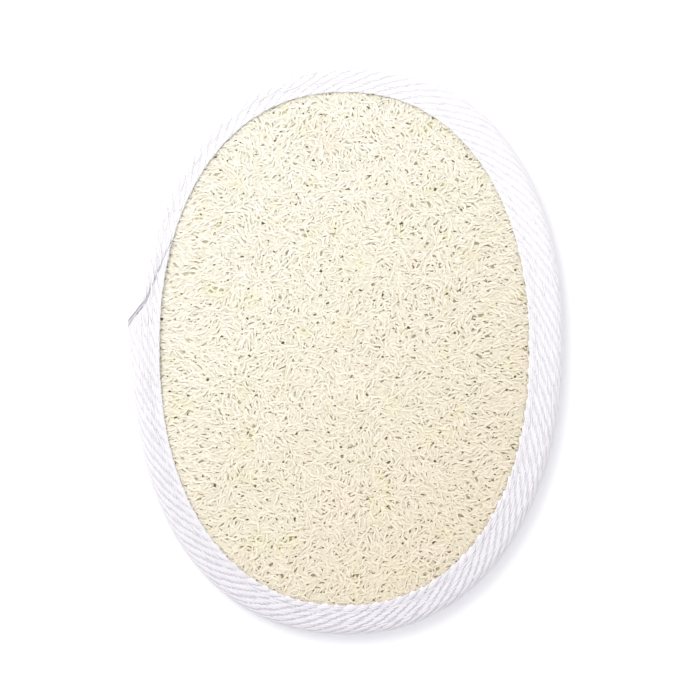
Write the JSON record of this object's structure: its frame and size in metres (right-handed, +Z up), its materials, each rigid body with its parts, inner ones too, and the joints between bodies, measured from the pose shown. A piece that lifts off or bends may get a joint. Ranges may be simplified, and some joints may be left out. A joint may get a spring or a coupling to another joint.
{
  "type": "loofah bath pad",
  "caption": "Flat oval bath scrubber: a pressed loofah mat with its natural raised net on both faces, its edge bound with folded white twill tape and sewn all round.",
  "frame": {"origin": "on the plane that the pad rests on, under the middle of its outline's box", "axes": "+Z up, out of the front face; +Y along the pad's length, up in the picture; +X to the right in the picture, with the tape's lapped ends on the -X side"},
  "size_m": [0.1152, 0.15, 0.0092],
  "materials": {
    "loofah": "matt dry plant fibre, cream",
    "twill_tape": "matt white cotton twill",
    "sewing_thread": "white sewing thread"
  },
  "bodies": {
    "root": {"loofah_pad": "loofah", "binding_tape": "twill_tape", "needle_thread": "sewing_thread", "bobbin_thread": "sewing_thread"}
  },
  "joints": []
}
